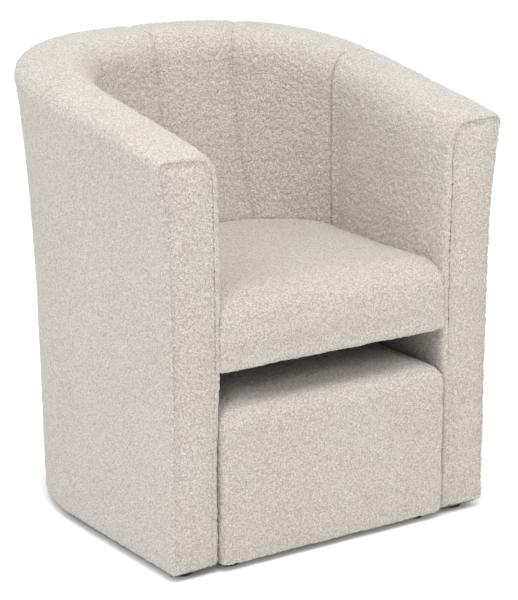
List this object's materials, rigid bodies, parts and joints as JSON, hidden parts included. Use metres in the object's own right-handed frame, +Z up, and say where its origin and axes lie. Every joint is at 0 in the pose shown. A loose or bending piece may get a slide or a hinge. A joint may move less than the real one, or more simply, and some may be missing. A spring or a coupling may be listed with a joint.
{
  "type": "barrel armchair with a nesting ottoman",
  "caption": "Barrel armchair in nubby cream fabric, with a padded rim that falls towards the arms and an ottoman that pulls out from under the seat.",
  "frame": {"origin": "on the floor under the middle of the bounding box, with the ottoman pushed in", "axes": "+Z up, -Y towards the front of the chair, +X to the right of someone who faces the chair"},
  "size_m": [0.6582, 0.6486, 0.76],
  "materials": {
    "boucle_fabric": "nubby looped pile",
    "foam": "open-cell foam",
    "plywood": "raw plywood",
    "pine": "raw softwood",
    "dust_cloth": "thin non-woven cloth",
    "webbing": "woven elastic webbing",
    "steel": "zinc plated",
    "glide_plastic": "matt black plastic"
  },
  "bodies": {
    "chair": {"outer_cover": "boucle_fabric", "outer_padding": "foam", "inner_cover_left_arm": "boucle_fabric", "inner_cover_left_side": "boucle_fabric", "inner_cover_left_back": "boucle_fabric", "inner_cover_right_back": "boucle_fabric", "inner_cover_right_side": "boucle_fabric", "inner_cover_right_arm": "boucle_fabric", "inner_foam": "foam", "inner_back_board": "plywood", "rim_foam": "foam", "arm_front_cover_left": "boucle_fabric", "arm_front_cover_right": "boucle_fabric", "arm_front_pad_left": "foam", "arm_front_pad_right": "foam", "arm_front_board_left": "plywood", "arm_front_board_right": "plywood", "inner_arm_board_left": "plywood", "inner_arm_board_right": "plywood", "bay_lining_left": "boucle_fabric", "bay_lining_right": "boucle_fabric", "bay_back_cloth": "dust_cloth", "base_rib": "plywood", "seat_rib": "plywood", "top_back_rib": "plywood", "arm_rail_left": "pine", "arm_rail_right": "pine", "lower_studs": "pine", "upper_studs": "pine", "seat_packer_left": "pine", "seat_packer_right": "pine", "seat_front_rail": "pine", "seat_side_rail_left": "pine", "seat_side_rail_right": "pine", "seat_back_rail": "plywood", "seat_corner_blocks": "pine", "webbing_lengthwise": "webbing", "webbing_crosswise": "webbing", "seat_foam": "foam", "seat_cover": "boucle_fabric", "seat_dust_cover": "dust_cloth", "base_dust_cover": "dust_cloth", "seat_bolts": "steel", "seat_nuts": "steel", "chair_glides": "glide_plastic", "chair_glide_screws": "steel"},
    "ottoman": {"ottoman_cover": "boucle_fabric", "ottoman_foam": "foam", "ottoman_top_board": "plywood", "ottoman_front_board": "plywood", "ottoman_back_board": "plywood", "ottoman_side_board_left": "plywood", "ottoman_side_board_right": "plywood", "ottoman_corner_posts": "pine", "ottoman_base_board": "plywood", "ottoman_dust_cover": "dust_cloth", "ottoman_glides": "glide_plastic", "ottoman_glide_screws": "steel"}
  },
  "joints": [
    {"name": "ottoman_pull_out", "type": "slide", "parent": "chair", "child": "ottoman", "axis": [0, -1, 0], "range_m": [0, 0.6]}
  ]
}
